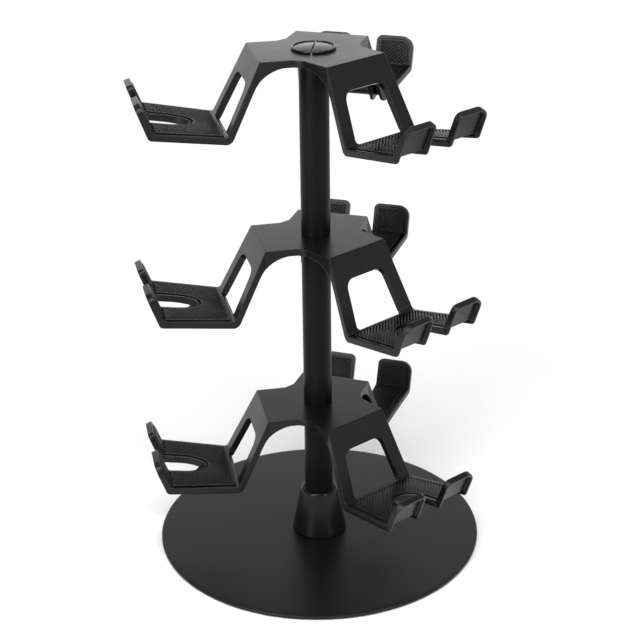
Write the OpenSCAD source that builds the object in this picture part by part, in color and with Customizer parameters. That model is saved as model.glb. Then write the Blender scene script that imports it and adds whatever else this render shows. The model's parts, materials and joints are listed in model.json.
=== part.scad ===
// Three tier stand for game controllers.
// A round steel base carries a post made of three screwed tubes.
// Each tube end clamps a moulded holder with three cranked arms.
// Every arm has a sprung seat with two leaning fingers and a ribbed rubber pad.
// Millimetres, Z up, the origin is the centre of the underside that meets the table.

/* [Base] */
// Diameter of the round steel plate
base_d = 221; // [200:1:260]
// Thickness of the steel plate
base_t = 2.0; // [1.5:0.1:4]
// Radius rolled on the upper edge of the plate
base_edge_r = 0.8; // [0.2:0.1:1.2]
// Diameter of the foam sheet under the plate
foam_d = 214; // [180:1:218]
// Thickness of the foam sheet
foam_t = 0.8; // [0.5:0.1:3]

/* [Post] */
// Outer diameter of the tubes
tube_d = 19; // [16:0.5:21]
// Wall of the tubes
tube_wall = 1.0; // [0.8:0.1:1.5]
// Length of the lowest tube
lower_tube_len = 94.5; // [80:0.1:140]
// Length of the two upper tubes
upper_tube_len = 117.3; // [80:0.1:140]
// Nominal diameter of the studs and of the cap screw's shank
thread_d = 8; // [6:1:8]
// Length of a threaded plug in a tube end
plug_len = 12; // [8:0.5:20]
// Chamfer on the open ends of plugs and studs
thread_chamfer = 0.8; // [0.4:0.1:1]

/* [Foot cone] */
// Height of the cone that covers the foot of the post
cone_h = 32.5; // [20:0.5:40]
// Largest diameter of the cone, close above the plate
cone_d = 37.4; // [30:0.2:50]
// Diameter of the cone where its top edge starts to round over
cone_top_d = 25.4; // [22:0.2:30]
// Radius of the barely bulged side of the cone
cone_side_r = 600; // [100:10:2000]
// Radius of the top edge
cone_top_r = 2.2; // [0.5:0.1:3]
// Radius of the bottom edge
cone_foot_r = 1.2; // [0.5:0.1:2]
// Wall of the cone
cone_wall = 1.8; // [1.2:0.1:3]

/* [Holder] */
// Depth of the moulded section, skin and flanges together
section_t = 4.5; // [4:0.1:6]
// Thickness of the skin between the flanges
skin_t = 1.6; // [1.2:0.1:2.4]
// Width of the flanges around every edge and opening
flange_w = 1.9; // [1.4:0.1:2.6]
// Step by which the webs under the hub stand back from its boss
web_step = 0.4; // [0.2:0.1:1]
// Half width of an arm where it leaves the hub
crease_half = 24.2; // [20:0.1:26]
// Distance from the axis to the edge where the leg starts
crease_u = 38.1; // [34:0.1:46]
// Distance from the axis to the straight inner edge between two arms
chamfer_u = 30.2; // [28.5:0.1:33]
// Half width of an arm at the lower end of its leg
bend_half = 29.5; // [25:0.1:32]
// Distance from the axis to the lower end of the leg
bend_u = 59.8; // [56:0.1:66]
// Drop from the hub to the lower end of the leg
bend_drop = 43.9; // [36:0.1:50]
// Half width of the seat at its outer end
root_half = 34.7; // [32:0.1:38]
// Distance from the axis to the outer end of the seat
root_u = 104.6; // [96:0.1:112]
// Drop from the hub to the outer end of the seat
root_drop = 36.3; // [32:0.1:43]
// Radius of the arch under the hub, between the hub and the leg
arch_r = 24; // [12:0.5:24]
// Radius of the lower outer corner of the leg
heel_r = 5.1; // [3:0.1:7]
// Reach of the short ribs under the seat, beyond the lower end of the leg
heel_rib_reach = 12; // [4:1:20]
// Radius of the lower outer corner of the seat
toe_r = 2.6; // [0.5:0.1:3]

/* [Turn of each holder about the post] */
// Angle by which the lower holder came to rest off its line
lower_turn = -1.2; // [-3:0.1:3]
// Angle by which the middle holder came to rest off its line
middle_turn = 0.7; // [-3:0.1:3]
// Angle by which the upper holder came to rest off its line
upper_turn = 0; // [-3:0.1:3]

/* [Leg window] */
// Distance along the leg to the top of the window
window_top = 16.4; // [12:0.1:24]
// Distance along the leg to the bottom of the window
window_bottom = 48.7; // [40:0.1:48.8]
// Half width of the window at its top
window_top_half = 16.2; // [10:0.1:17]
// Half width of the window at its bottom
window_bottom_half = 20; // [14:0.1:21]
// Radius of the window's top corners
window_top_r = 7; // [1:0.5:8]
// Radius of the window's bottom corners
window_bottom_r = 3; // [0.5:0.5:4]

/* [Fingers] */
// Length of a finger above the seat
finger_len = 19.2; // [14:0.1:26]
// Outward lean of the fingers from upright
finger_lean = 21.2; // [10:0.1:35]
// Thickness at the top of a finger
finger_tip_t = 4.1; // [3:0.1:5]
// Half width of the slot that parts the fingers
slot_half = 9; // [6:0.1:12]
// Step by which the fingers stand back from the sides of the slot
finger_step = 0.2; // [0.1:0.1:1]
// Length of the slot in the seat
slot_len = 25.5; // [18:0.1:32]
// Length of the slot's oval inner end
slot_nose = 16.0; // [9:0.5:20]
// Radius of the outer top corner of a finger
finger_outer_r = 7.9; // [4:0.5:12]
// Radius of the top corner beside the slot
finger_inner_r = 4.0; // [1:0.5:6]

/* [Grip pads] */
// Width of the plain rim around a pad
pad_rim = 2.4; // [1.5:0.1:4]
// Depth of the pad's pocket in the seat
pad_sink = 0.4; // [0.2:0.1:0.6]
// Height of the pad's sheet above the rim
pad_proud = 0.3; // [0.1:0.1:0.6]
// Free gap around the pad in its pocket
pad_gap = 0.15; // [0.05:0.05:0.3]
// Height of the ribs on the pad
rib_h = 0.5; // [0.3:0.1:0.8]
// Width of one rib
rib_w = 0.95; // [0.6:0.05:1.4]
// Distance from rib to rib
rib_pitch = 1.9; // [1.4:0.1:2.6]
// Depth to which a rib is rooted in the sheet
rib_root = 0.1; // [0.05:0.05:0.3]

/* [Cap screw] */
// Diameter of the screw's head
cap_d = 28.2; // [20:0.2:34]
// Height of the rounded rim
cap_rim_h = 1.5; // [1:0.1:3]
// Width of the rounded rim
cap_rim_w = 1.6; // [1:0.1:3]
// Step down from the rim to the edge of the dome
cap_dome_step = 0.6; // [0.3:0.1:0.7]
// Height of the low dome at its middle
cap_dome_h = 1.4; // [1.2:0.1:4]
// Width of the driver slot
cap_slot_w = 1.4; // [1:0.1:3]
// Direction in which the driver slot came to rest
cap_slot_angle = 72; // [0:1:180]
// Depth of the driver slot from the top of the dome
cap_slot_depth = 0.9; // [0.6:0.1:1]

/* [Hidden] */
// Step of the curved outlines that are worked out point by point
arc_steps = 8;
// Angle of each arm about the post
arm_angles = [180, 300, 60];
// Free play of a shank or a tube that passes through a hole
free_play = 0.4;
// Length that a cutting shape runs past the face it cuts
over = 4;
// Length by which joined shapes run into each other
lap = 1;
// Widest extrusion across one arm
across = 2 * root_half + 2 * over;

// Heights of the stack, from the table up
plate_z = foam_t;
plate_top_z = plate_z + base_t;
lower_hub_z = plate_top_z + lower_tube_len + section_t;
tier_pitch = upper_tube_len + section_t;
middle_hub_z = lower_hub_z + tier_pitch;
upper_hub_z = middle_hub_z + tier_pitch;

// The skin's side view as a bent line: hub, leg, seat and finger, seen across one arm
finger_tip_u = root_u + finger_len * sin(finger_lean);
finger_tip_w = finger_len * cos(finger_lean) - root_drop;
skin_line = [[0, 0], [crease_u, 0], [bend_u, -bend_drop], [root_u, -root_drop], [finger_tip_u, finger_tip_w]];
leg_angle = atan2(bend_drop, bend_u - crease_u);
seat_len = norm([root_u - bend_u, bend_drop - root_drop]);
seat_tilt = atan2(bend_drop - root_drop, root_u - bend_u);

// Small radii of the skin's own corners: crease, bend and finger root
skin_r = [0.8, 2.4, 1.2];

// Unit vector from point a to point b
function toward(a, b) = (b - a) / norm(b - a);

// Normal on the underside of the edge that runs from a to b
function under(a, b) = [toward(a, b)[1], -toward(a, b)[0]];

// Points of the arc of radius r that rounds corner b between a and c
function corner_arc(a, b, c, r) =
    let(
        d1 = toward(b, a),
        d2 = toward(b, c),
        half = acos(d1 * d2) / 2,
        mid = b + toward([0, 0], d1 + d2) * r / sin(half),
        p1 = b + d1 * r / tan(half) - mid,
        p2 = b + d2 * r / tan(half) - mid,
        sweep = 180 - 2 * half
    )
    [for (i = [0:arc_steps])
        let(k = i / arc_steps)
        mid + (p1 * sin((1 - k) * sweep) + p2 * sin(k * sweep)) / sin(sweep)];

// An open line with its inner corners rounded
function rounded_line(p, r) =
    let(last = len(p) - 1)
    [p[0], for (i = [1:last - 1]) each corner_arc(p[i - 1], p[i], p[i + 1], r[i - 1]), p[last]];

// A closed outline with every corner rounded
function rounded_loop(p, r) =
    let(n = len(p))
    [for (i = [0:n - 1]) each corner_arc(p[(i + n - 1) % n], p[i], p[(i + 1) % n], r[i])];

// A line moved by t to its underside, with its last point moved by t_end
function moved_line(p, t, t_end) =
    let(last = len(p) - 1)
    [for (i = [0:last])
        i == 0 ? p[0] + t * under(p[0], p[1]) :
        i == last ? p[last] + t_end * under(p[last - 1], p[last]) :
        let(n1 = under(p[i - 1], p[i]), n2 = under(p[i], p[i + 1]))
        p[i] + t * (n1 + n2) / (1 + n1 * n2)];

function reversed(p) = [for (i = [len(p) - 1:-1:0]) p[i]];

// Side view of a layer of the arm, from depth t1 to depth t2 under the skin
module side_layer(t1, t1_end, r1, t2, t2_end, r2) {
    upper_line = rounded_line(moved_line(skin_line, t1, t1_end), r1);
    lower_line = rounded_line(moved_line(skin_line, t2, t2_end), r2);
    polygon(concat(upper_line, reversed(lower_line)));
}

// Stretches a side view across the arm
module across_arm() {
    rotate([90, 0, 0])
        linear_extrude(across, center = true)
            children();
}

// Top view of one arm, with its edges moved inward
module arm_plan(inset) {
    side = [
        [0, crease_half - inset],
        [crease_u, crease_half - inset],
        [bend_u, bend_half - inset],
        [root_u, root_half - inset],
        [finger_tip_u + 3 * over, root_half - inset]
    ];
    other = [for (p = reversed(side)) [p[0], -p[1]]];
    polygon(concat(side, other));
}

// Cuts a shape down to the top view of one arm
module within_plan(inset) {
    intersection() {
        children();
        translate([0, 0, -bend_drop - 3 * over])
            linear_extrude(bend_drop + 6 * over)
                arm_plan(inset);
    }
}

// Frames that lie in the skin: X along the arm, Y across it, Z out of the skin
module on_leg() {
    translate([crease_u, 0, 0]) rotate([0, leg_angle, 0]) children();
}

module on_seat() {
    translate([bend_u, 0, -bend_drop]) rotate([0, -seat_tilt, 0]) children();
}

module on_finger() {
    translate([root_u, 0, -root_drop]) rotate([0, finger_lean - 90, 0]) children();
}

// Window of the leg, grown at its top, sides and foot, as a cutting shape
module leg_window(grow, grow_foot) {
    a = window_top - grow;
    b = window_bottom + grow_foot;
    p = [
        [a, -window_top_half - grow], [b, -window_bottom_half - grow],
        [b, window_bottom_half + grow], [a, window_top_half + grow]
    ];
    top_r = window_top_r + grow;
    bottom_r = window_bottom_r + grow;
    on_leg()
        translate([0, 0, -2 * section_t])
            linear_extrude(3 * section_t)
                polygon(rounded_loop(p, [top_r, bottom_r, bottom_r, top_r]));
}

// Outline of the slot in the seat, an oval nose with straight sides
module slot_outline(grow) {
    half = slot_half + grow;
    nose = slot_nose + grow;
    nose_x = seat_len - slot_len + slot_nose;
    oval = [for (i = [-12:12]) [nose_x - nose * cos(i * 7.5), half * sin(i * 7.5)]];
    polygon(concat(oval, [[seat_len + section_t, half], [seat_len + section_t, -half]]));
}

module seat_slot(grow) {
    on_seat()
        translate([0, 0, -2 * section_t])
            linear_extrude(2 * section_t + over)
                slot_outline(grow);
}

// Outline of one finger, from below the seat to its rounded top
module finger_outline(inset, low) {
    inner = slot_half + finger_step + inset;
    outer = root_half - inset;
    top = finger_len - inset;
    p = [[low, inner], [low, outer], [top, outer], [top, inner]];
    outer_arc = corner_arc(p[1], p[2], p[3], finger_outer_r - inset);
    inner_arc = corner_arc(p[2], p[3], p[0], finger_inner_r - min(inset, finger_inner_r - 0.5));
    polygon(concat([p[0], p[1]], outer_arc, inner_arc));
}

// Everything around the two fingers, with the finger outlines moved inward
module finger_trim(inset) {
    low = -section_t / 2;
    on_finger()
        translate([0, 0, -2 * section_t])
            linear_extrude(3 * section_t)
                difference() {
                    translate([low, -across / 2])
                        square([finger_len + over - low, across]);
                    finger_outline(inset, low - 1);
                    mirror([0, 1]) finger_outline(inset, low - 1);
                }
}

// Two ribs that carry on the sides of the window through the heel and end under the seat
module heel_ribs() {
    v = window_bottom_half;
    foot = [
        [bend_u - 4 * section_t, -bend_drop / 2],
        [bend_u + heel_rib_reach + over, -bend_drop],
        [bend_u + heel_rib_reach - over, -bend_drop - 2 * section_t],
        [bend_u - 4 * section_t, -bend_drop - 2 * section_t]
    ];
    for (side = [-1, 1])
        translate([0, side * (v + flange_w / 2) + flange_w / 2, 0])
            rotate([90, 0, 0])
                linear_extrude(flange_w)
                    polygon(foot);
}

// One arm as a solid strip of full depth
module arm_block() {
    within_plan(0)
        across_arm()
            side_layer(0, 0, skin_r, section_t, finger_tip_t, [arch_r, heel_r, toe_r]);
}

// The hollow under the skin, between the flanges of one arm
module arm_core() {
    deep = section_t + over;
    difference() {
        within_plan(flange_w)
            across_arm()
                side_layer(
                    skin_t, skin_t, [2, heel_r - section_t + 2 * skin_t, skin_t],
                    deep, deep, [arch_r - over, heel_r + over, toe_r + over]
                );
        leg_window(flange_w, -flange_w / 2);
        seat_slot(flange_w);
        finger_trim(flange_w);
        heel_ribs();
    }
}

// Top view of the web that fills the corner between two arms
module corner_plan(inset) {
    u = chamfer_u - inset;
    half = u * tan(60) - (crease_half - inset) / cos(60) + lap;
    polygon([[0, 0], [u, -half], [u, half]]);
}

// The sunken bed of a grip pad in the skin, or the sheet of the pad itself
module pad_sheet(rim, t_top, t_bottom) {
    difference() {
        within_plan(rim)
            across_arm()
                intersection() {
                    side_layer(t_top, t_top, skin_r, t_bottom, t_bottom, skin_r);
                    translate([bend_u + rim - 0.6, -bend_drop - 2 * over])
                        square([2 * seat_len, bend_drop + 2 * over]);
                }
        seat_slot(rim);
        finger_trim(rim);
    }
}

// Slanting strips that stand for the ribs, over a length of the pad
module rib_strips(length) {
    count = ceil((length + across) / rib_pitch);
    for (i = [-count:count])
        rotate(-45)
            translate([-across, i * rib_pitch - rib_w / 2])
                square([3 * across, rib_w]);
}

// Outline of the pad on the flat of the seat
module seat_rib_area() {
    rim = pad_rim + pad_gap;
    slope = (root_half - bend_half) / seat_len;
    x0 = pad_rim + pad_gap;
    x1 = seat_len - skin_r[2];
    difference() {
        polygon([
            [x0, -bend_half - slope * x0 + rim], [x1, -bend_half - slope * x1 + rim],
            [x1, bend_half + slope * x1 - rim], [x0, bend_half + slope * x0 - rim]
        ]);
        slot_outline(rim);
    }
}

// Outline of the pad on the two fingers
module finger_rib_area() {
    rim = pad_rim + pad_gap;
    finger_outline(rim, skin_r[2]);
    mirror([0, 1]) finger_outline(rim, skin_r[2]);
}

// Rubber pad of one arm: a thin sheet with slanting ribs
module grip_pad() {
    rib_z = pad_proud - rib_root;
    union() {
        pad_sheet(pad_rim + pad_gap, -pad_proud, pad_sink);
        on_seat()
            translate([0, 0, rib_z])
                linear_extrude(rib_h + rib_root)
                    intersection() {
                        seat_rib_area();
                        rib_strips(seat_len);
                    }
        on_finger()
            translate([0, 0, rib_z])
                linear_extrude(rib_h + rib_root)
                    intersection() {
                        finger_rib_area();
                        rib_strips(finger_len);
                    }
    }
}

// Boss and webs that stiffen the middle of the hub from below
module hub_stiffening() {
    boss_d = tube_d + 2 * flange_w;
    translate([0, 0, -section_t])
        cylinder(d = boss_d, h = section_t, $fn = 96);
    for (a = arm_angles)
        rotate(a)
            translate([-chamfer_u + flange_w / 2, -flange_w / 2, web_step - section_t])
                cube([chamfer_u - boss_d / 2, flange_w, section_t - web_step]);
}

// One moulding with three arms, its upper face at height zero
module holder() {
    difference() {
        union() {
            difference() {
                union() {
                    for (a = arm_angles) rotate(a) arm_block();
                    for (a = arm_angles)
                        rotate(a + 60)
                            translate([0, 0, -section_t])
                                linear_extrude(section_t)
                                    corner_plan(0);
                }
                for (a = arm_angles) rotate(a) arm_core();
                for (a = arm_angles)
                    rotate(a + 60)
                        translate([0, 0, -section_t - over])
                            linear_extrude(section_t + over - skin_t)
                                corner_plan(flange_w);
            }
            hub_stiffening();
        }
        for (a = arm_angles)
            rotate(a) {
                leg_window(0, 0);
                seat_slot(0);
                finger_trim(0);
                pad_sheet(pad_rim, -over, pad_sink);
            }
        translate([0, 0, -section_t - over])
            cylinder(d = thread_d + free_play, h = section_t + 2 * over, $fn = 64);
    }
}

// Tube of the post
module tube(length) {
    difference() {
        cylinder(d = tube_d, h = length, $fn = 96);
        translate([0, 0, -over])
            cylinder(d = tube_d - 2 * tube_wall, h = length + 2 * over, $fn = 96);
    }
}

// Threaded plug pressed into a tube end
module plug() {
    difference() {
        cylinder(d = tube_d - 2 * tube_wall, h = plug_len, $fn = 96);
        translate([0, 0, -over])
            cylinder(d = thread_d, h = plug_len + 2 * over, $fn = 64);
    }
}

// Headless stud with chamfered ends
module stud(length) {
    tip_d = thread_d - 2 * thread_chamfer;
    cylinder(d1 = tip_d, d2 = thread_d, h = thread_chamfer, $fn = 64);
    translate([0, 0, thread_chamfer])
        cylinder(d = thread_d, h = length - 2 * thread_chamfer, $fn = 64);
    translate([0, 0, length - thread_chamfer])
        cylinder(d1 = thread_d, d2 = tip_d, h = thread_chamfer, $fn = 64);
}

// Foam sheet that keeps the steel off the table
module foam_sheet() {
    color("#17181a") cylinder(d = foam_d, h = foam_t, $fn = 180);
}

// Head of the stud that is pressed into the plate from below
stud_head_d = thread_d + 4;
stud_head_t = base_t / 2;

// Round steel plate with a rolled upper edge and a stepped hole for its stud
module base_plate() {
    r = base_d / 2;
    color("#2a2b2d")
        translate([0, 0, plate_z])
            difference() {
                rotate_extrude($fn = 180)
                    union() {
                        square([r - base_edge_r, base_t]);
                        square([r, base_t - base_edge_r]);
                        intersection() {
                            translate([r - base_edge_r, base_t - base_edge_r])
                                circle(r = base_edge_r, $fn = 32);
                            translate([r - base_edge_r, base_t - base_edge_r])
                                square(base_edge_r);
                        }
                    }
                translate([0, 0, -over])
                    cylinder(d = thread_d, h = base_t + 2 * over, $fn = 64);
                translate([0, 0, -over])
                    cylinder(d = stud_head_d, h = stud_head_t + over, $fn = 64);
            }
}

// Stud pressed into the plate, its head flush with the underside
module base_stud() {
    color("silver")
        translate([0, 0, plate_z]) {
            cylinder(d = stud_head_d, h = stud_head_t, $fn = 64);
            stud(base_t + plug_len - 1);
        }
}

// Cone that hides the joint of the post and the plate
module foot_cone() {
    r_foot = cone_d / 2;
    r_top = cone_top_d / 2;
    // centres of the small arcs at the foot and at the top
    foot_mid = [r_foot - cone_foot_r, cone_foot_r];
    top_mid = [r_top - cone_top_r, cone_h - cone_top_r];
    // centre of the large arc of the side, which runs smoothly into both
    d = top_mid - foot_mid;
    reach_foot = cone_side_r - cone_foot_r;
    reach_top = cone_side_r - cone_top_r;
    along = (reach_foot * reach_foot - reach_top * reach_top + d * d) / (2 * norm(d));
    aside = sqrt(reach_foot * reach_foot - along * along);
    mid = foot_mid + (along * d + aside * [-d[1], d[0]]) / norm(d);
    a0 = atan2(foot_mid[1] - mid[1], foot_mid[0] - mid[0]);
    a1 = atan2(top_mid[1] - mid[1], top_mid[0] - mid[0]);
    foot_arc = [for (i = [0:6]) let(a = -90 + (a0 + 90) * i / 6) foot_mid + cone_foot_r * [cos(a), sin(a)]];
    side = [for (i = [1:5]) let(a = a0 + (a1 - a0) * i / 6) mid + cone_side_r * [cos(a), sin(a)]];
    top_arc = [for (i = [0:6]) let(a = a1 + (90 - a1) * i / 6) top_mid + cone_top_r * [cos(a), sin(a)]];
    bore_r = (tube_d + free_play) / 2;
    outer = concat([[bore_r, 0]], foot_arc, side, top_arc, [[bore_r, cone_h]]);
    color("#1b1b1d")
        translate([0, 0, plate_top_z])
            difference() {
                rotate_extrude($fn = 96) polygon(outer);
                translate([0, 0, -over])
                    cylinder(
                        r1 = r_foot - cone_wall + over / 4, r2 = r_top - cone_wall,
                        h = top_mid[1] - cone_wall + over, $fn = 96
                    );
            }
}

module tube_lower() {
    color("#202124") translate([0, 0, plate_top_z]) tube(lower_tube_len);
}

module tube_middle() {
    color("#202124") translate([0, 0, lower_hub_z]) tube(upper_tube_len);
}

module tube_upper() {
    color("#202124") translate([0, 0, middle_hub_z]) tube(upper_tube_len);
}

module plug_lower_foot() {
    color("silver") translate([0, 0, plate_top_z]) plug();
}

module plug_lower_head() {
    color("silver") translate([0, 0, lower_hub_z - section_t - plug_len]) plug();
}

module plug_middle_foot() {
    color("silver") translate([0, 0, lower_hub_z]) plug();
}

module plug_middle_head() {
    color("silver") translate([0, 0, middle_hub_z - section_t - plug_len]) plug();
}

module plug_upper_foot() {
    color("silver") translate([0, 0, middle_hub_z]) plug();
}

module plug_upper_head() {
    color("silver") translate([0, 0, upper_hub_z - section_t - plug_len]) plug();
}

// Stud that pulls two tubes together through a hub
module joining_stud(hub_z) {
    color("silver")
        translate([0, 0, hub_z - section_t - plug_len + 1])
            stud(section_t + 2 * plug_len - 2);
}

module stud_lower() {
    joining_stud(lower_hub_z);
}

module stud_middle() {
    joining_stud(middle_hub_z);
}

module holder_lower() {
    color("#262729") translate([0, 0, lower_hub_z]) rotate(lower_turn) holder();
}

module holder_middle() {
    color("#262729") translate([0, 0, middle_hub_z]) rotate(middle_turn) holder();
}

module holder_upper() {
    color("#262729") translate([0, 0, upper_hub_z]) rotate(upper_turn) holder();
}

// A pad in its place: height and turn of its tier, and the number of its arm
module placed_pad(hub_z, turn, arm) {
    color("#141517") translate([0, 0, hub_z]) rotate(arm_angles[arm] + turn) grip_pad();
}

module pad_lower_left() {
    placed_pad(lower_hub_z, lower_turn, 0);
}

module pad_lower_front() {
    placed_pad(lower_hub_z, lower_turn, 1);
}

module pad_lower_back() {
    placed_pad(lower_hub_z, lower_turn, 2);
}

module pad_middle_left() {
    placed_pad(middle_hub_z, middle_turn, 0);
}

module pad_middle_front() {
    placed_pad(middle_hub_z, middle_turn, 1);
}

module pad_middle_back() {
    placed_pad(middle_hub_z, middle_turn, 2);
}

module pad_upper_left() {
    placed_pad(upper_hub_z, upper_turn, 0);
}

module pad_upper_front() {
    placed_pad(upper_hub_z, upper_turn, 1);
}

module pad_upper_back() {
    placed_pad(upper_hub_z, upper_turn, 2);
}

// Slotted screw with a beaded, slightly domed head that clamps the stack
module cap_screw() {
    r = cap_d / 2;
    bead_r = cap_rim_w / 2;
    inner = r - cap_rim_w - 0.5;
    dome_edge_h = cap_rim_h - cap_dome_step;
    rise = cap_dome_h - dome_edge_h;
    dome_r = (inner * inner + rise * rise) / (2 * rise);
    dome = [for (i = [0:10]) let(x = inner * (1 - i / 10)) [x, cap_dome_h - dome_r + sqrt(dome_r * dome_r - x * x)]];
    color("#1c1c1e")
        translate([0, 0, upper_hub_z])
            union() {
                difference() {
                    rotate_extrude($fn = 96)
                        union() {
                            polygon(concat([[0, 0], [inner, 0]], dome));
                            square([r - bead_r, cap_rim_h - bead_r]);
                            translate([r - cap_rim_w, 0]) square([cap_rim_w, cap_rim_h - bead_r]);
                            intersection() {
                                translate([r - bead_r, cap_rim_h - bead_r]) circle(r = bead_r, $fn = 32);
                                translate([r - cap_rim_w, 0]) square([cap_rim_w, cap_rim_h]);
                            }
                        }
                    rotate(cap_slot_angle)
                        translate([-cap_d, -cap_slot_w / 2, cap_dome_h - cap_slot_depth])
                            cube([2 * cap_d, cap_slot_w, over]);
                }
                translate([0, 0, -section_t - plug_len + 1])
                    stud(section_t + plug_len - 1 + thread_chamfer);
            }
}

foam_sheet();
base_plate();
base_stud();
foot_cone();
tube_lower();
tube_middle();
tube_upper();
plug_lower_foot();
plug_lower_head();
plug_middle_foot();
plug_middle_head();
plug_upper_foot();
plug_upper_head();
stud_lower();
stud_middle();
holder_lower();
holder_middle();
holder_upper();
pad_lower_left();
pad_lower_front();
pad_lower_back();
pad_middle_left();
pad_middle_front();
pad_middle_back();
pad_upper_left();
pad_upper_front();
pad_upper_back();
cap_screw();
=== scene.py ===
# %% [markdown]
# A three tier stand for game controllers, dressed in Blender
#
# The real stand is a powder-coated steel disc, a post of three painted tubes, and three
# moulded holders whose cranked arms end in ribbed rubber pads. A CAD model gives every piece
# its true size and place. This script keeps those places and adds the looks: rounded edges,
# ribs with a soft profile, moulded grain, paint, light and a camera.

import json
import math

import bmesh
import bpy
import numpy as np
from mathutils import Matrix, Vector


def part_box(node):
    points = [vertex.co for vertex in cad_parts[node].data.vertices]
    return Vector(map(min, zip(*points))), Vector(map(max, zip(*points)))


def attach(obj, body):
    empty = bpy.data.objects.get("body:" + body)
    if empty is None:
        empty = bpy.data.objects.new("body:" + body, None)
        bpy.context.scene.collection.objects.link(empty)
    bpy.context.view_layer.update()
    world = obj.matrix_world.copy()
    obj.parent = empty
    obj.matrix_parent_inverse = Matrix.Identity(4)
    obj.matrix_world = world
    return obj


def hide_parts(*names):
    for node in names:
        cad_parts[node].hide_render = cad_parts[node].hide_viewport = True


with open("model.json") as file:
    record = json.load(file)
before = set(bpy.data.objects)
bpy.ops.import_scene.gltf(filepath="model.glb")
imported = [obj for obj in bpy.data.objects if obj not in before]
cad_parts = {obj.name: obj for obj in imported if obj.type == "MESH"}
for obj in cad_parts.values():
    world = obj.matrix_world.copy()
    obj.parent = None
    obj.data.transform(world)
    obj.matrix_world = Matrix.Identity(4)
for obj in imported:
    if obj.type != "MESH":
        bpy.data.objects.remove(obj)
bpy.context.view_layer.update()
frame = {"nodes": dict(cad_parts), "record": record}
nodes = frame["nodes"]
mm = 0.001
print(len(nodes), "solids from the CAD model")

# %% [markdown]
# Finishes. They could be painted pictures laid over the pieces, but a picture needs a flat layout
# of every piece and blurs close up. Node trees work out colour and grain from a point's place on
# the object, so they stay sharp and need no layout. Two effects serve all the finishes, and each
# is a node group that is built once: a fine grain, as a mould or a powder coat leaves it, and a
# soft unevenness, as handling leaves it.

# %% A helper that places a node and joins its inputs
def add_node(tree, kind, inputs=None, **settings):
    """Adds one node. inputs maps a socket's name or number to a value or to another node's
    output, and settings are the node's own options."""
    node = tree.nodes.new(kind)
    for name, value in settings.items():
        setattr(node, name, value)
    for name, value in (inputs or {}).items():
        if isinstance(value, bpy.types.NodeSocket):
            tree.links.new(value, node.inputs[name])
        else:
            node.inputs[name].default_value = value
    return node


def new_group(name, inputs, outputs):
    """An empty shader group. inputs maps a name to its default, outputs lists names of numbers."""
    group = bpy.data.node_groups.new(name, "ShaderNodeTree")
    group.interface.new_socket("Vector", in_out="INPUT", socket_type="NodeSocketVector")
    for label, value in inputs.items():
        socket = group.interface.new_socket(label, in_out="INPUT", socket_type="NodeSocketFloat")
        socket.default_value = value
    for label in outputs:
        group.interface.new_socket(label, in_out="OUTPUT", socket_type="NodeSocketFloat")
    return group, group.nodes.new("NodeGroupInput"), group.nodes.new("NodeGroupOutput")


# %% [markdown]
# Grain. A mould's spark-eroded texture and the orange peel of a powder coat are both small
# random bumps. Noise gives the swells and a cell pattern gives the pits between them. The
# group puts out a height for a Bump node, so each finish sets its own scale and strength.

# %% The grain group
def build_grain():
    """Height is a mix of a noise's swells and the distance to the nearest of many scattered
    points, by the share of pits."""
    group, given, result = new_group(
        "surface_grain",
        {"Swells per metre": 900.0, "Pits per metre": 2600.0, "Pit share": 0.5},
        ["Height"],
    )
    swells = add_node(group, "ShaderNodeTexNoise", {
        "Vector": given.outputs["Vector"], "Scale": given.outputs["Swells per metre"],
        "Detail": 3.0,
    })
    pits = add_node(group, "ShaderNodeTexVoronoi", {
        "Vector": given.outputs["Vector"], "Scale": given.outputs["Pits per metre"],
    })
    height = add_node(group, "ShaderNodeMix", {
        0: given.outputs["Pit share"], 2: swells.outputs["Fac"], 3: pits.outputs["Distance"],
    })
    group.links.new(height.outputs[0], result.inputs["Height"])
    return group


grain_group = build_grain()
print("grain group:", len(grain_group.nodes), "nodes")


# %% [markdown]
# Unevenness. Nothing that has been handled is one flat colour: fingers leave slightly smoother
# and slightly paler patches. A large noise, stretched so that it reaches from nought to one,
# gives a mask, and each finish uses it for a small change of colour and roughness.

# %% The unevenness group
def build_unevenness():
    """Patches is a noise whose middle range from 0.35 to 0.65 is stretched to run from 0 to 1."""
    group, given, result = new_group("handling_marks", {"Patches per metre": 28.0}, ["Patches"])
    patches = add_node(group, "ShaderNodeTexNoise", {
        "Vector": given.outputs["Vector"], "Scale": given.outputs["Patches per metre"],
        "Detail": 4.0, "Roughness": 0.6,
    })
    spread = add_node(group, "ShaderNodeMapRange", {
        "Value": patches.outputs["Fac"], "From Min": 0.35, "From Max": 0.65,
    })
    group.links.new(spread.outputs["Result"], result.inputs["Patches"])
    return group


marks_group = build_unevenness()
print("unevenness group:", len(marks_group.nodes), "nodes")


# %% [markdown]
# One function makes all the finishes of this stand, because they differ only in numbers: the
# colour of their darker and paler patches, how rough they are, and the size and depth of
# their grain. The shader itself stays in each material.

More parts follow.
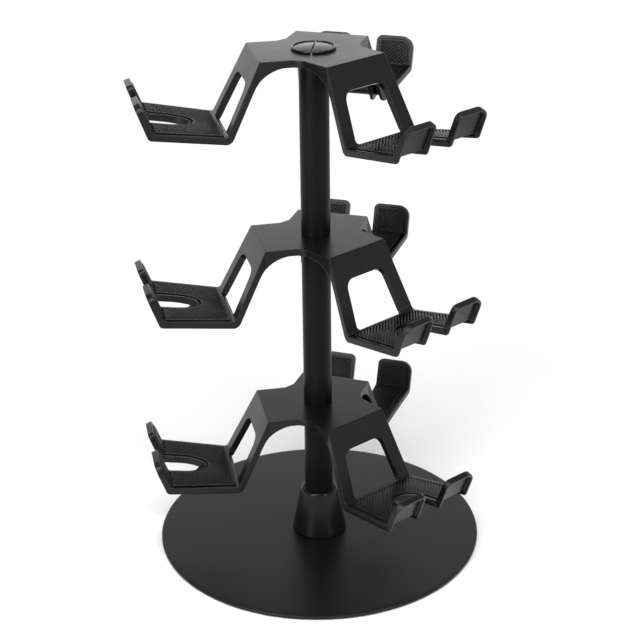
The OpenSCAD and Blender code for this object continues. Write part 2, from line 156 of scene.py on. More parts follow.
# %% The finish builder
def finish_of(name, dark, pale, rough, shine, grain, depth, metallic=0.0):
    """A Principled material. dark and pale are linear colours, rough is (least, most), shine is
    the specular level, grain is (swells per metre, pits per metre, share of pits) and depth is
    the height of the grain."""
    material = bpy.data.materials.new(name)
    material.use_nodes = True
    tree = material.node_tree
    shader = tree.nodes["Principled BSDF"]
    place = add_node(tree, "ShaderNodeTexCoord").outputs["Object"]
    marks = add_node(tree, "ShaderNodeGroup", node_tree=marks_group)
    tree.links.new(place, marks.inputs["Vector"])
    patch_colour = add_node(tree, "ShaderNodeMix", data_type="RGBA")
    tree.links.new(marks.outputs["Patches"], patch_colour.inputs["Factor"])
    patch_colour.inputs["A"].default_value = (*dark, 1.0)
    patch_colour.inputs["B"].default_value = (*pale, 1.0)
    roughness = add_node(tree, "ShaderNodeMapRange", {
        "Value": marks.outputs["Patches"], "To Min": rough[0], "To Max": rough[1],
    })
    grains = add_node(tree, "ShaderNodeGroup", node_tree=grain_group)
    tree.links.new(place, grains.inputs["Vector"])
    for label, value in zip(("Swells per metre", "Pits per metre", "Pit share"), grain):
        grains.inputs[label].default_value = value
    bump = add_node(tree, "ShaderNodeBump", {"Height": grains.outputs["Height"], "Distance": depth})
    tree.links.new(patch_colour.outputs["Result"], shader.inputs["Base Color"])
    tree.links.new(roughness.outputs["Result"], shader.inputs["Roughness"])
    tree.links.new(bump.outputs["Normal"], shader.inputs["Normal"])
    shader.inputs["Metallic"].default_value = metallic
    shader.inputs["Specular IOR Level"].default_value = shine
    return material


def grey(level):
    """A near neutral black, a touch cooler than grey."""
    return (level, level, level * 1.03)


# %% [markdown]
# The eight finishes. All of the stand is black, and what tells its materials apart is gloss and
# grain: spark-eroded plastic on the holders, smoother plastic on the foot cone, a matte powder
# coat on the disc, satin paint on the tubes and the cap screw, dull rubber on the pads. Black
# paint and plastic send back almost no light from inside, so their colours are close to nought,
# and the greys that one sees are reflections of the room. The foam and the zinc plated screws
# are hidden, and still get a finish, because the model may be opened later.

# %% The finishes, under the names of the record's slots
fine, coarse, open_cells = (1400, 3400, 0.4), (1100, 2400, 0.5), (600, 1200, 0.8)
steel_dark, steel_pale = (0.45, 0.45, 0.44), (0.52, 0.52, 0.50)
finish_values = {
    "holder_plastic": (grey(0.003), grey(0.004), (0.27, 0.33), 0.25, coarse, 0.012 * mm),
    "cone_plastic": (grey(0.004), grey(0.005), (0.22, 0.26), 0.20, fine, 0.006 * mm),
    "plate_paint": (grey(0.003), grey(0.004), (0.32, 0.38), 0.22, coarse, 0.025 * mm),
    "tube_paint": (grey(0.002), grey(0.003), (0.36, 0.42), 0.12, fine, 0.012 * mm),
    "cap_paint": (grey(0.004), grey(0.006), (0.22, 0.28), 0.24, fine, 0.006 * mm),
    "pad_rubber": (grey(0.003), grey(0.004), (0.38, 0.46), 0.20, fine, 0.015 * mm),
    "foam": (grey(0.012), grey(0.016), (0.85, 0.95), 0.30, open_cells, 0.2 * mm),
    "bare_steel": (steel_dark, steel_pale, (0.28, 0.38), 0.5, fine, 0.01 * mm, 1.0),
}
finishes = {name: finish_of(name, *values) for name, values in finish_values.items()}
slot_of = {part["node"]: part["material_slot"] for part in frame["record"]["subparts"]}
for name, solid in nodes.items():
    solid.data.materials.clear()
    solid.data.materials.append(finishes[slot_of[name]])
print(len(finishes), "finishes on", len(slot_of), "nodes")


# %% [markdown]
# Places. The CAD nodes stay as they are. A finished piece is made where its node is, rides on
# the stand's one body, and then stands for that node in the picture.

# %% A helper that puts a finished piece in the place of its CAD node
def put_in_place(piece, node):
    """The piece rides on the stand's one body, stands for its CAD node and takes its finish."""
    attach(piece, "root")
    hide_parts(node)
    piece.data.materials.clear()
    piece.data.materials.append(finishes[slot_of[node]])
    print(piece.name, "stands for", node, "with", len(piece.data.polygons), "faces")


# %% [markdown]
# The holders. Each is one moulding, so its edges are slightly round where the tool's edges
# are. The CAD solid has the whole shape, but it is cut sharp. It could be modelled again with
# round edges, and would then have to follow every later change of the solid by hand. Instead a
# copy of it has its triangles joined into whole faces, and a Bevel modifier rounds the outer
# edges, which gives the thin lines of light that a real moulding shows there. Inner corners
# stay as they are, so the beds of the pads keep their depth.

# %% A rounded copy of a sharp CAD solid
same_place = 0.001 * mm
flat_within = math.radians(0.3)


def rounded_copy(name, source, edge_radius, steps=2, least_turn=22):
    """The solid of a CAD node with its triangles joined into flat faces. An edge is rounded where
    its two faces turn outwards from each other by more than least_turn degrees."""
    mesh = nodes[source].data.copy()
    mesh.name = name
    work = bmesh.new()
    work.from_mesh(mesh)
    bmesh.ops.remove_doubles(work, verts=work.verts, dist=same_place)
    bmesh.ops.dissolve_limit(work, angle_limit=flat_within, verts=work.verts, edges=work.edges)
    weight = work.edges.layers.float.new("bevel_weight_edge")
    for edge in work.edges:
        turn = edge.calc_face_angle_signed(0.0)
        edge[weight] = 1.0 if turn > math.radians(least_turn) else 0.0
    for face in work.faces:
        face.smooth = True
    work.to_mesh(mesh)
    work.free()
    piece = bpy.data.objects.new(name, mesh)
    bpy.context.scene.collection.objects.link(piece)
    bevel = piece.modifiers.new("round the edges", "BEVEL")
    bevel.width = edge_radius
    bevel.segments = steps
    bevel.limit_method = "WEIGHT"
    bevel.use_clamp_overlap = False
    even = piece.modifiers.new("keep flats flat", "WEIGHTED_NORMAL")
    even.keep_sharp = False
    return piece


# %% The three holders
holder_edge = 0.5 * mm
for tier in ("lower", "middle", "upper"):
    moulding = rounded_copy(f"moulding_{tier}", f"holder_{tier}", holder_edge)
    put_in_place(moulding, f"holder_{tier}")


# %% [markdown]
# Turned pieces. The plate, the cone, the tubes and the cap are all round, so each is a profile
# of (radius, height) pairs that is carried round the post's axis. Blender's Screw modifier can
# do that too, but points that are worked out keep every radius and height a named number. A
# profile that closes on itself gives a ring with no seam. Many points lie where the profile
# bends, because that is where light shows a facet.

# %% Helpers for profiles
def arc(centre, radius, start, end, count):
    """count points on a circle round centre from angle start to angle end, in degrees."""
    angles = np.radians(np.linspace(start, end, count))
    return [(centre[0] + radius * math.cos(a), centre[1] + radius * math.sin(a)) for a in angles]


def join_doubles(mesh):
    """Joins vertices that share a place, such as those of a pole, and turns all faces outwards."""
    work = bmesh.new()
    work.from_mesh(mesh)
    bmesh.ops.remove_doubles(work, verts=work.verts, dist=same_place)
    bmesh.ops.recalc_face_normals(work, faces=work.faces)
    open_edges = sum(1 for edge in work.edges if len(edge.link_faces) != 2)
    work.to_mesh(mesh)
    work.free()
    print(mesh.name, "open edges", open_edges)


smooth_below = math.radians(35)


def mesh_piece(name, places, faces):
    """An object at the origin from places (n, 3) and faces, smooth wherever it bends by less than
    the angle smooth_below."""
    mesh = bpy.data.meshes.new(name)
    mesh.from_pydata(places, [], faces)
    mesh.validate()
    mesh.shade_smooth()
    mesh.set_sharp_from_angle(angle=smooth_below)
    piece = bpy.data.objects.new(name, mesh)
    bpy.context.scene.collection.objects.link(piece)
    return piece


def turned(name, profile, around):
    """Carries a profile of (radius, height) round the Z axis: place (i, j) is the profile's point j
    at angle i, of around equal angles. The profile runs counterclockwise, seen with the radius to
    the right and the height up. It closes on itself as a ring does, or on the axis as a solid
    does, where its ends have radius zero."""
    loop = np.array(profile)
    on_axis = loop[0, 0] == 0
    angle = np.linspace(0, 2 * math.pi, around, endpoint=False)[:, None]
    places = np.stack([
        loop[:, 0] * np.cos(angle), loop[:, 0] * np.sin(angle), loop[:, 1] + 0 * angle
    ], axis=-1).reshape(-1, 3)
    i, j = np.meshgrid(np.arange(around), np.arange(len(loop) - on_axis), indexing="ij")
    i2, j2 = (i + 1) % around, (j + 1) % len(loop)
    here, ahead = i * len(loop), i2 * len(loop)
    faces = np.stack([here + j, ahead + j, ahead + j2, here + j2], axis=-1).reshape(-1, 4)
    piece = mesh_piece(name, places, faces.tolist())
    if on_axis:
        join_doubles(piece.data)
    return piece


# %% Sizes of the round pieces, from the CAD model's boxes
def heights(node):
    """Lowest and highest point of a CAD node."""
    low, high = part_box(node)
    return low[2], high[2]


def radius_of(node):
    """Half the width of a round CAD node's box."""
    low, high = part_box(node)
    return (high[0] - low[0]) / 2


plate_low, plate_top = heights("base_plate")
plate_r = radius_of("base_plate")
tube_r = radius_of("tube_lower")
cone_r = radius_of("foot_cone")
cap_r = radius_of("cap_screw")
hub_top = heights("holder_upper")[1]
print("radii:", {"plate": round(plate_r, 5), "tube": round(tube_r, 5),
                 "cone": round(cone_r, 5), "cap": round(cap_r, 5)})

# %% [markdown]
# The base. A disc is punched from sheet, so its upper edge is rolled over a little and its
# lower edge is sharper. The powder coat softens both. The hole in its middle takes the stud. A
# bevelled cylinder would come close, and a turned profile gives each edge its own radius. A
# narrow flat ring inside the roll keeps the roll's shading off the wide flat face.

# %% Base plate
stud_r = 4.0 * mm
roll, lower_roll, flat_ring = 0.8 * mm, 0.3 * mm, 4 * mm
plate_profile = (
    [(stud_r, plate_low)]
    + arc((plate_r - lower_roll, plate_low + lower_roll), lower_roll, -90, 0, 6)
    + arc((plate_r - roll, plate_top - roll), roll, 0, 90, 12)
    + [(plate_r - flat_ring, plate_top), (stud_r, plate_top)]
)
put_in_place(turned("base_disc", plate_profile, 360), "base_plate")

# %% [markdown]
# The post. Each tube is drawn steel with a wall of one millimetre, and its cut ends are
# broken with a small chamfer, so that a fine line shows where tube and holder meet. The post
# could be one long cylinder, but then the holders would seem to be slid onto it.

# %% Tubes
tube_wall, end_break = 1.0 * mm, 0.25 * mm
for tier in ("lower", "middle", "upper"):
    foot, head = heights(f"tube_{tier}")
    tube_profile = [
        (tube_r - tube_wall, foot), (tube_r - end_break, foot), (tube_r, foot + end_break),
        (tube_r, head - end_break), (tube_r - end_break, head), (tube_r - tube_wall, head),
    ]
    put_in_place(turned(f"post_tube_{tier}", tube_profile, 128), f"tube_{tier}")

# %% [markdown]
# The foot cone. It is a moulded cover with a straight side that runs smoothly into a small
# arc at the foot and a larger one at the top. A cone with a bevel would leave a faint kink
# where side and bevel meet. Here the side touches both arcs, so its direction follows from
# their centres and radii. The cover is hollow, and its top rim closes on the post.

# %% Foot cone
cone_low, cone_high = heights("foot_cone")
cone_top_r, cone_bore_r, cone_wall = 12.7 * mm, 9.7 * mm, 1.8 * mm
foot_round, top_round = 1.2 * mm, 2.2 * mm
foot_middle = np.array([cone_r - foot_round, cone_low + foot_round])
head_middle = np.array([cone_top_r - top_round, cone_high - top_round])
side = head_middle - foot_middle
side_angle = math.degrees(
    math.atan2(side[1], side[0]) - math.acos((foot_round - top_round) / np.linalg.norm(side))
)
cone_profile = (
    [(cone_r - cone_wall, cone_low)]
    + arc(foot_middle, foot_round, -90, side_angle, 10)
    + arc(head_middle, top_round, side_angle, 90, 12)
    + [(cone_bore_r, cone_high), (cone_bore_r, cone_high - cone_wall)]
    + [(cone_top_r - cone_wall, cone_high - 2 * cone_wall)]
)
print("the cone's side leans in by", round(side_angle, 1), "degrees")
put_in_place(turned("foot_cover", cone_profile, 128), "foot_cone")

# %% [markdown]
# The cap screw. Its wide head has a beaded rim, a shallow step down to a low dome, and a slot
# for a coin or a driver. The slot could be a dark stripe in the paint, but a stripe shows no
# depth. So the head and its shank are turned in one, and the slot is then cut with a Boolean
# modifier, as a slitting saw cuts it on the real screw. The mesh is fixed before it is placed.

# %% Cap screw
cap_low, cap_high = heights("cap_screw")
bead_r, bead_height = 0.8 * mm, 0.7 * mm
rim_width, groove_height = 2.1 * mm, 0.7 * mm
dome_edge_r, dome_edge, dome_top = cap_r - rim_width, 0.9 * mm, 1.4 * mm
shank_break = 0.8 * mm
dome_rise = dome_top - dome_edge
dome_ball_r = (dome_edge_r**2 + dome_rise**2) / (2 * dome_rise)
dome_half_turn = math.degrees(math.asin(dome_edge_r / dome_ball_r))
dome_centre = (0.0, hub_top + dome_top - dome_ball_r)
cap_profile = (
    [(0, cap_low), (stud_r - shank_break, cap_low), (stud_r, cap_low + shank_break)]
    + [(stud_r, hub_top), (cap_r - bead_r, hub_top)]
    + arc((cap_r - bead_r, hub_top + bead_height), bead_r, -50, 180, 24)
    + [(cap_r - 2 * bead_r, hub_top + groove_height), (dome_edge_r, hub_top + groove_height)]
    + arc(dome_centre, dome_ball_r, 90 - dome_half_turn, 90, 16)[:-1]
    + [(0, hub_top + dome_top)]
)
print("cap profile", len(cap_profile), "points, top at", round(cap_high - hub_top, 5))
cap_head = turned("cap_head", cap_profile, 160)

# %% Its slot
slot_angle, slot_width, slot_floor = math.radians(72), 1.2 * mm, -0.3 * mm
half_length, half_width, slot_roof = 2 * cap_r, slot_width / 2, 4 * mm
slot_corners = [
    (x * half_length, y * half_width, hub_top + z)
    for z in (slot_floor, slot_roof) for x, y in ((-1, -1), (1, -1), (1, 1), (-1, 1))
]
slot_faces = [(3, 2, 1, 0), (4, 5, 6, 7), (0, 1, 5, 4), (1, 2, 6, 5), (2, 3, 7, 6), (3, 0, 4, 7)]
saw_cut = mesh_piece("saw_cut", slot_corners, slot_faces)
saw_cut.data.transform(Matrix.Rotation(slot_angle, 4, "Z"))
slitting = cap_head.modifiers.new("slot", "BOOLEAN")
slitting.object = saw_cut
slitting.operation = "DIFFERENCE"
worked_out = cap_head.evaluated_get(bpy.context.evaluated_depsgraph_get())
with_slot = bpy.data.meshes.new_from_object(worked_out)
cap_head.modifiers.clear()
cap_head.data = with_slot
with_slot.set_sharp_from_angle(angle=smooth_below)
bpy.data.objects.remove(saw_cut)
put_in_place(cap_head, "cap_screw")

# %% [markdown]
# The pads. A rubber sheet lies in a shallow bed on each seat, bends up both fingers and leaves
# the slot free. A ribbed texture would be less work, but the ribs end at the rim and at the slot,
# and light catches them from every side, so they are real forms. The pad is laid out flat
# first, as a moulder cuts the rubber: one distance, s, runs along the seat and up the finger,
# the other, v, runs across. Three forms share that layout, a raised border along the outline, a
# thin sheet, and slanting ribs. One function then bends the flat layout over the seat.

# %% Sizes of a seat and its two fingers, in millimetres
seat_start, seat_end = np.array([59.8, -43.9]), np.array([104.6, -36.3])
start_half, end_half = 29.5, 34.7
finger_len, finger_lean = 19.2, math.radians(21.2)
slot_half, slot_len, slot_nose = 9.0, 25.5, 16.0
finger_step, step_run = 0.2, 1
tip_outer_r, tip_inner_r = 7.9, 4.0
inner_bend_r = 1.2

along = seat_end - seat_start
seat_len = float(np.hypot(*along))
seat_tilt = math.atan2(along[1], along[0])
bend_turn = math.pi / 2 - finger_lean - seat_tilt
bend_back = inner_bend_r * math.tan(bend_turn / 2)
bend_rows = seat_len + np.linspace(-bend_back, bend_back, 9)
print("seat", round(seat_len, 2), "mm long")
print("finger", finger_len, "mm, turned up by", round(math.degrees(bend_turn), 1), "degrees")

# %% Sizes of the pad, in millimetres
pad_inset, pad_start, start_corner_r = 3.1, 2.2, 0.8
bed_depth, sheet_top = 0.4, -0.05
border_wide, border_round = 0.9, 0.12
rib_root, rib_top, rib_pitch = -0.15, 0.6, 1.9
rib_foot_half, rib_head_half = 0.62, 0.34
rib_lap = 0.8 * border_wide
print("a rib every", rib_pitch, "mm, border", border_wide, "mm wide")


# %% The pad's outline, laid flat
def slot_nose_at(inset):
    """Where the slot's rounded nose begins, how far it runs, and half its width, at an inset."""
    return seat_len - slot_len - inset, slot_nose + inset, slot_half + inset


def half_outline():
    """The pad's edge on the side of positive v, from the middle of its start round the outer edge,
    the finger's tip and the inner edge to the tip of the slot's nose, which is half an oval."""
    top = seat_len + finger_len - pad_inset
    outer, inner = end_half - pad_inset, slot_half + finger_step + pad_inset
    outer_r, inner_r = tip_outer_r - pad_inset, tip_inner_r - pad_inset
    nose_tip, nose_run, nose_half = slot_nose_at(pad_inset)
    start_outer = outer - (end_half - start_half) * (1 - pad_start / seat_len)
    start_corner = (pad_start + start_corner_r, start_outer - start_corner_r)
    bend_outer, bend_inner = np.full(len(bend_rows), outer), np.full(len(bend_rows), inner)
    nose = np.radians(np.linspace(90, 180, 31))
    return np.concatenate([
        [[pad_start, 0.0]],
        arc(start_corner, start_corner_r, 180, 90, 6),
        np.stack([bend_rows, bend_outer], axis=1),
        arc((top - outer_r, outer - outer_r), outer_r, 90, 0, 14),
        arc((top - inner_r, inner + inner_r), inner_r, 0, -90, 8),
        np.stack([bend_rows, bend_inner], axis=1)[::-1],
        np.stack([nose_tip + nose_run + nose_run * np.cos(nose), nose_half * np.sin(nose)], axis=1),
    ])


half = half_outline()
outline = np.concatenate([half, (half * [1, -1])[-2:0:-1]])
print("the pad's outline has", len(outline), "points")


# %% Bending the flat layout over the seat
def on_the_seat(s, v, height):
    """Place of a point at distance s along the seat, v across it and height above it, in the arm's
    frame. The seat is straight, turns up on an arc about a centre above it, and is straight
    again."""
    before, after = seat_len - bend_back, seat_len + bend_back
    seat_dir = np.array([math.cos(seat_tilt), math.sin(seat_tilt)])
    seat_up = np.array([-seat_dir[1], seat_dir[0]])
    finger_dir = np.array([math.sin(finger_lean), math.cos(finger_lean)])
    finger_up = np.array([-finger_dir[1], finger_dir[0]])
    centre = seat_start + before * seat_dir + inner_bend_r * seat_up
    turn = np.clip((s - before) / (after - before), 0, 1) * bend_turn
    out = np.stack([np.sin(seat_tilt + turn), -np.cos(seat_tilt + turn)], axis=-1)
    bent = centre + out * (inner_bend_r - height)[..., None]
    flat = seat_start + s[..., None] * seat_dir + height[..., None] * seat_up
    raised = seat_end + (s - seat_len)[..., None] * finger_dir + height[..., None] * finger_up
    place = np.where((s < before)[..., None], flat, np.where((s > after)[..., None], raised, bent))
    return np.stack([place[..., 0], v, place[..., 1]], axis=-1)


def ring_faces(count, rows, wide, closed_rows):
    """Faces of count grids of rows by wide points. Each grid is closed across, and also closed
    along where closed_rows is true."""
    steps = rows if closed_rows else rows - 1
    i, j = np.meshgrid(np.arange(steps), np.arange(wide), indexing="ij")
    i2, j2 = (i + 1) % rows, (j + 1) % wide
    here, ahead = i * wide, i2 * wide
    one = np.stack([here + j, ahead + j, ahead + j2, here + j2], axis=-1).reshape(-1, 4)
    return (one[None] + (np.arange(count) * rows * wide)[:, None, None]).reshape(-1, 4)


# %% [markdown]
# The border. It seals the ends of the ribs and is the first thing that one sees of a pad, as a
# thin line of light round the seat. It could be a curve with a bevel object, but a curve twists
# where it bends in two directions. A section that is carried along the flat outline, and bent
# afterwards with the rest, keeps its width and its height everywhere.

# %% The raised border
def border_form():
    """The outline's point i moved inward by the section's distance j, at the section's height j. At
    a corner the two edges' inward normals a and b move it by (a + b) / (1 + a.b), which keeps the
    width."""
    inner_round = border_round / 2
    section = np.array(
        [(0.0, -bed_depth)]
        + arc((border_round, rib_top - border_round), border_round, 180, 90, 6)
        + arc((border_wide - inner_round, rib_top - inner_round), inner_round, 90, 0, 4)
        + [(border_wide, -bed_depth)]
    )
    ahead = np.roll(outline, -1, axis=0) - outline
    ahead /= np.linalg.norm(ahead, axis=1)[:, None]
    inward = np.stack([ahead[:, 1], -ahead[:, 0]], axis=1)
    earlier = np.roll(inward, 1, axis=0)
    moved = (inward + earlier) / (1 + (inward * earlier).sum(axis=1))[:, None]
    flat = outline[:, None, :] + moved[:, None, :] * section[None, :, :1]
    height = np.broadcast_to(section[:, 1], flat.shape[:2])
    places = on_the_seat(flat[..., 0], flat[..., 1], height).reshape(-1, 3)
    return places, ring_faces(1, len(outline), len(section), True)


# %% [markdown]
# The sheet. It is the rubber between the ribs, and its edges hide in the border. Each row of its
# grid runs from an inner edge, the middle line or the slot, to an outer edge, and the rows lie
# closer together where an edge bends. One half is made on each side of the middle line.

# %% The thin sheet
just_before = 0.01


def sheet_edges(s, inset):
    """Inner and outer edge of the pad at distance s, for an outline at an inset: half an oval at
    the slot's nose, straight lines beside it, and quarter circles at the finger's tip."""
    nose_tip, nose_run, nose_half = slot_nose_at(inset)
    outer = end_half - (end_half - start_half) * np.clip(1 - s / seat_len, 0, 1) - inset
    oval = np.sqrt(np.clip(1 - ((nose_tip + nose_run - s) / nose_run) ** 2, 0, 1))
    beside = np.where(s < nose_tip + nose_run, nose_half * oval, nose_half)
    inner = np.where(s < nose_tip, 0.0, beside)
    inner = inner + finger_step * np.clip(s - seat_len + step_run, 0, 1)
    top = seat_len + finger_len - inset
    outer_r, inner_r = tip_outer_r - inset, tip_inner_r - inset
    over_outer = np.clip((s - top + outer_r) / outer_r, 0, 1)
    over_inner = np.clip((s - top + inner_r) / inner_r, 0, 1)
    outer = outer - outer_r * (1 - np.sqrt(1 - over_outer**2))
    return inner + inner_r * (1 - np.sqrt(1 - over_inner**2)), outer


def sheet_form(side):
    """One half of the sheet, a grid with its lower face below its upper one and walls all round:
    v = side * (inner + share * (outer - inner)) for shares from 0 to 1."""
    columns = 6
    inset = pad_inset + border_wide / 2
    top = seat_len + finger_len - inset
    nose_tip, nose_run, _ = slot_nose_at(inset)
    nose_rows = nose_tip + nose_run * (1 - np.cos(np.radians(np.linspace(0, 90, 25))))
    tip_rows = top - (tip_outer_r - inset) * (1 - np.sin(np.radians(np.linspace(0, 90, 9))))
    first_rows = [pad_start + border_wide / 2, nose_tip - just_before]
    s = np.unique(np.concatenate([first_rows, nose_rows, bend_rows, tip_rows]))
    inner, outer = sheet_edges(s, inset)
    across = np.linspace(0, 1, columns)
    v = side * (inner[:, None] + across * (outer - inner)[:, None])
    v = np.concatenate([v, v[:, ::-1]], axis=1)
    height = np.concatenate([np.full(columns, sheet_top), np.full(columns, -bed_depth)]) + 0 * v
    rows, wide = v.shape
    places = on_the_seat(s[:, None] + 0 * v, v, height).reshape(-1, 3)
    ends = [list(range(wide)), list(range((rows - 1) * wide, rows * wide))]
    return places, ring_faces(1, rows, wide, False).tolist() + ends


# %% [markdown]
# The ribs. They slant across the seat at 45 degrees, and wherever a rib meets the slot or the rim
# it stops and starts again behind it. They could be one rippled surface, but its grid would have
# to be very fine to give straight ribs and clean ends. Short bars stay exact with few faces: each
# rib's runs are searched for along its line, and each run becomes one closed bar.

# %% Where the ribs run
search_step, shortest_rib = 0.02, 0.9


def rib_runs(low, high, base):
    """Ends of the ribs between distances low and high. Each rib is a line where (s - base) + v is
    constant, and a run of it is kept wherever it lies inside the border."""
    step = rib_pitch * math.sqrt(2)
    constant = np.arange(-end_half, seat_len + end_half, step)[:, None]
    v = np.arange(-end_half, end_half, search_step)[None, :]
    s = base + constant - v
    inner, outer = sheet_edges(s, pad_inset + rib_lap)
    inside = (s > low) & (s < high) & (np.abs(v) > inner) & (np.abs(v) < outer)
    change = np.diff(inside.astype(int), axis=1)
    line, first = np.nonzero(change == 1)
    last = np.nonzero(change == -1)[1]
    start, end = v[0, first], v[0, last]
    long_enough = end - start > shortest_rib
    return (base + constant[line, 0])[long_enough], start[long_enough], end[long_enough]


bend_clear = 0.2
seat_ribs = rib_runs(pad_start + rib_lap, seat_len - bend_back - bend_clear, 0.0)
finger_top = seat_len + finger_len - pad_inset - rib_lap
finger_ribs = rib_runs(seat_len + bend_back + bend_clear, finger_top, seat_len)
print("ribs on the seat", len(seat_ribs[0]), "and on the fingers", len(finger_ribs[0]))


# %% The ribs
def rib_form():
    """Ribs as short bars. Along a bar the section grows from low ends to its full height, and
    across it the section is a flat-topped ridge with rounded shoulders."""
    constant, start, end = (np.concatenate(pair) for pair in zip(seat_ribs, finger_ribs))
    shoulder, shoulder_height = rib_head_half + 0.12, rib_top - 0.1
    section = np.array([
        (-rib_foot_half, rib_root), (-shoulder, shoulder_height), (-rib_head_half, rib_top),
        (rib_head_half, rib_top), (shoulder, shoulder_height), (rib_foot_half, rib_root),
    ])
    from_end = np.array([0.0, 0.1, 0.3])
    growth = np.array([0.25, 0.8, 1.0])
    start_part = start[:, None] + from_end
    end_part = (end[:, None] - from_end)[:, ::-1]
    v = np.concatenate([start_part, end_part], axis=1)[:, :, None]
    rise = np.concatenate([growth, growth[::-1]])[None, :, None]
    s = constant[:, None, None] - v
    sideways = section[:, 0] / math.sqrt(2)
    height = rib_root + (section[:, 1] - rib_root) * rise + 0 * v
    places = on_the_seat(s + sideways, v + sideways, height).reshape(-1, 3)
    count, rows, wide = height.shape
    bars = ring_faces(count, rows, wide, False).tolist()
    first_ends = np.arange(wide) + (np.arange(count) * rows * wide)[:, None]
    return places, bars + first_ends.tolist() + (first_ends + (rows - 1) * wide).tolist()


# %% [markdown]
# The finished pads. All nine are alike, so border, sheet and ribs are worked out once, in the
# frame of one arm. A pad is a copy of those points, turned to its arm and lifted to its hub. The
# two lower tiers stand a degree or so out of line with the top one, as on the photographed stand.

# %% One pad from its three forms
def pad_parts():
    """Points in metres and faces of border, sheet and ribs, numbered one after another."""
    forms = [border_form(), sheet_form(1), sheet_form(-1), rib_form()]
    places, faces, base = [], [], 0
    for form_places, form_faces in forms:
        places.append(form_places)
        faces += [[base + corner for corner in face] for face in form_faces]
        base += len(form_places)
    return np.concatenate(places) * mm, faces


pad_places, pad_faces = pad_parts()
print("one pad:", len(pad_places), "points,", len(pad_faces), "faces")


def build_pad(name, arm_angle, hub_height):
    """The pad turned to its arm and lifted to its hub."""
    turn = math.radians(arm_angle)
    cos, sin = math.cos(turn), math.sin(turn)
    spin = np.array([[cos, sin, 0], [-sin, cos, 0], [0, 0, 1]])
    piece = mesh_piece(name, pad_places @ spin + np.array([0, 0, hub_height]), pad_faces)
    join_doubles(piece.data)
    return piece


# %% The nine pads
tier_turn = {"lower": -1.2, "middle": 0.7, "upper": 0.0}
arm_angle = {"left": 180, "front": 300, "back": 60}
for tier, turn in tier_turn.items():
    hub_height = heights(f"holder_{tier}")[1]
    for arm, angle in arm_angle.items():
        pad = build_pad(f"grip_{tier}_{arm}", angle + turn, hub_height)
        put_in_place(pad, f"pad_{tier}_{arm}")


# %% [markdown]
# The floor. The stand is on a pale floor that keeps its shadow. A photographer sweeps a sheet of
# paper up behind the object, so that no far edge shows. A bent sheet could be modelled, but it
# would stand in the way of views from behind. Here the flat floor passes softly into plain white
# away from the stand. Only the camera and mirror-like rays see that white: it gives no light.

# %% A switch that is on for the rays that may see the backdrop
def sees_backdrop(tree):
    """One where the ray comes from the camera, a glossy surface or glass, and nought elsewhere."""
    path = add_node(tree, "ShaderNodeLightPath").outputs
    direct = add_node(tree, "ShaderNodeMath", {
        0: path["Is Camera Ray"], 1: path["Is Glossy Ray"],
    }, operation="MAXIMUM")
    any_of_them = add_node(tree, "ShaderNodeMath", {
        0: direct.outputs[0], 1: path["Is Transmission Ray"],
    }, operation="MAXIMUM")
    return any_of_them.outputs[0]


# %% The flat floor
floor_reach = 6.0
corners = [(x * floor_reach, y * floor_reach, 0) for x, y in ((-1, -1), (1, -1), (1, 1), (-1, 1))]
floor = mesh_piece("floor", corners, [(0, 1, 2, 3)])
print("floor", 2 * floor_reach, "m wide")

# %% Its paper, which passes into white
sweep_start, sweep_end = 0.14, 0.45
floor_paint = bpy.data.materials.new("floor_paint")
floor_paint.use_nodes = True
paper = floor_paint.node_tree
paper_shader = paper.nodes["Principled BSDF"]
paper_shader.inputs["Base Color"].default_value = (0.9, 0.9, 0.9, 1)
paper_shader.inputs["Roughness"].default_value = 0.9
away = add_node(paper, "ShaderNodeVectorMath", {
    0: add_node(paper, "ShaderNodeTexCoord").outputs["Object"],
}, operation="LENGTH")
into_white = add_node(paper, "ShaderNodeMapRange", {
    "Value": away.outputs["Value"], "From Min": sweep_start, "From Max": sweep_end,
}, interpolation_type="SMOOTHSTEP")
share = add_node(paper, "ShaderNodeMath", {
    0: into_white.outputs["Result"], 1: sees_backdrop(paper),
}, operation="MULTIPLY")
white_paper = add_node(paper, "ShaderNodeEmission", {"Color": (1, 1, 1, 1), "Strength": 1.0})
sweep = add_node(paper, "ShaderNodeMixShader", {
    0: share.outputs[0], 1: paper_shader.outputs[0], 2: white_paper.outputs[0],
})
paper.links.new(sweep.outputs[0], paper.nodes["Material Output"].inputs["Surface"])
floor.data.materials.append(floor_paint)
print("the floor turns white between", sweep_start, "and", sweep_end, "m from the post")

# %% [markdown]
# The room. The world gives all surfaces a soft even light. To the camera, which looks down, it is
# plain white. Mirror-like rays see a white wall that dims with height, as a backdrop does that
# is lit near the floor. The top hub is seen at a flat angle, mirrors the wall's bright low part
# and is the palest. The lower hubs and the disc are seen from further above, so they mirror
# dimmer parts of it. Lamps behind the stand could do this too, but they would also light the
# floor and wash out the shadow.

# %% World
room_level, wall_low, wall_high, level_high = 0.45, 0.12, 0.5, 0.42
world = bpy.data.worlds.new("studio")
bpy.context.scene.world = world
world.use_nodes = True
sky = world.node_tree
sky.nodes.clear()
white = (1, 1, 1, 1)
room_light = add_node(sky, "ShaderNodeBackground", {"Color": white, "Strength": room_level})
direction = add_node(sky, "ShaderNodeTexCoord").outputs["Generated"]
up = add_node(sky, "ShaderNodeSeparateXYZ", {0: direction})
wall_level = add_node(sky, "ShaderNodeMapRange", {
    "Value": up.outputs["Z"], "From Min": wall_low, "From Max": wall_high,
    "To Min": 1.0, "To Max": level_high,
})
white_wall = add_node(sky, "ShaderNodeBackground", {
    "Color": white, "Strength": wall_level.outputs[0],
})
choice = add_node(sky, "ShaderNodeMixShader", {
    0: sees_backdrop(sky), 1: room_light.outputs[0], 2: white_wall.outputs[0],
})
add_node(sky, "ShaderNodeOutputWorld", {"Surface": choice.outputs[0]})
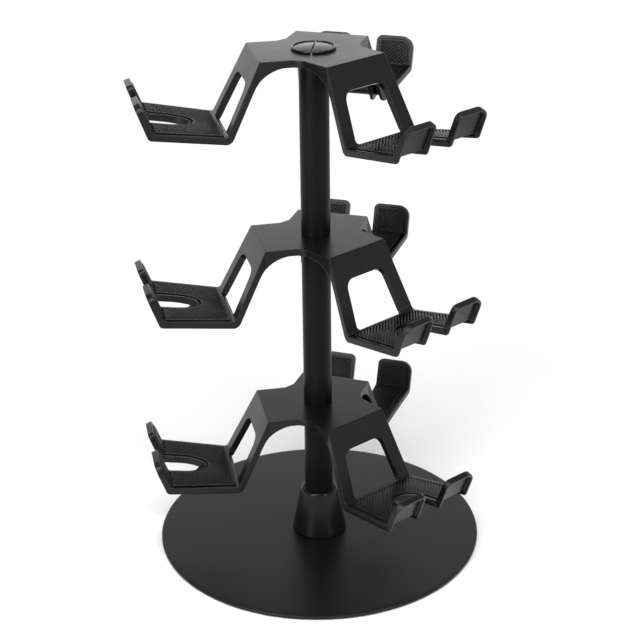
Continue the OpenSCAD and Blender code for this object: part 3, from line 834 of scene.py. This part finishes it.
print("room light", room_level, "and a wall from 1.0 at its foot to", level_high, "higher up")

# %% [markdown]
# The lamps. A bare lamp gives hard shadows and only a dot in a glossy surface, so soft boxes are
# used, as in a studio. Two tall ones stand left and right of the camera: the two pale bands down
# the foot cone and the two short lights on its rim tell where. A box high above the camera draws
# the thin lines along the rounded edges. A wide low strip stands behind and edges the far
# pieces. A weak, very soft sun from above gives the floor an even tone.

# %% Helpers that place a lamp
lamp_aim = 0.2


def toward_stand(lamp, place):
    """Puts a lamp at a place and turns it to the middle of the post."""
    lamp.location = place
    to_post = Vector((0.0, 0.0, lamp_aim)) - Vector(place)
    lamp.rotation_euler = to_post.to_track_quat("-Z", "Y").to_euler()
    bpy.context.scene.collection.objects.link(lamp)


def soft_box(name, azimuth, elevation, distance, size, watts):
    """A rectangular lamp at a distance from the middle of the post, in a direction given by its
    angle round the post from +X and its angle above the floor, both in degrees."""
    light = bpy.data.lights.new(name, "AREA")
    light.shape = "RECTANGLE"
    light.size, light.size_y = size
    light.energy = watts
    level, up = math.radians(azimuth), math.radians(elevation)
    toward_stand(bpy.data.objects.new(name, light), (
        distance * math.cos(up) * math.cos(level),
        distance * math.cos(up) * math.sin(level),
        lamp_aim + distance * math.sin(up),
    ))
    print(name, "at", azimuth, "degrees round and", elevation, "up,", watts, "W")


# %% Lamps
soft_box("left box", 219, 24, 1.2, (0.42, 1.2), 11.0)
soft_box("right box", 302, 24, 1.2, (0.30, 1.2), 6.0)
soft_box("edge light", 258, 64, 1.1, (0.9, 0.35), 9.0)
soft_box("strip behind", 84, 14, 1.6, (2.0, 0.3), 3.0)
ceiling = bpy.data.lights.new("ceiling", "SUN")
ceiling.energy = 0.3
ceiling.angle = math.radians(40)
toward_stand(bpy.data.objects.new("ceiling", ceiling), (0.1, 0.6, 1.6))

# %% [markdown]
# The camera stands where the photographer's did. It could be set by eye, but a small error in
# its height or lens would shift every outline in the picture. So its place, heading, pitch, roll
# and lens were worked out from the outlines in the photograph, in the CAD model's own frame.

# %% Camera
camera_place = (-198.7 * mm, -940.7 * mm, 601.5 * mm)
camera_heading = math.radians(77.894)
camera_pitch = math.radians(-24.561)
camera_roll = math.radians(-0.644)
camera_lens, sensor_width = 89.776, 36.0
camera_shift = (-0.00224, -0.00099)
farthest_seen = 50.0

camera_data = bpy.data.cameras.new("camera")
camera_data.sensor_width = sensor_width
camera_data.lens = camera_lens
camera_data.shift_x, camera_data.shift_y = camera_shift
camera_data.clip_end = farthest_seen
camera = bpy.data.objects.new("camera", camera_data)
bpy.context.scene.collection.objects.link(camera)
quarter_turn = math.pi / 2
camera.matrix_world = (
    Matrix.Translation(camera_place)
    @ Matrix.Rotation(camera_heading - quarter_turn, 4, "Z")
    @ Matrix.Rotation(quarter_turn + camera_pitch, 4, "X")
    @ Matrix.Rotation(camera_roll, 4, "Z")
)
bpy.context.scene.camera = camera
bpy.context.scene.view_settings.view_transform = "Standard"
print("camera", round(Vector(camera_place).length, 3), "m from the foot of the post")
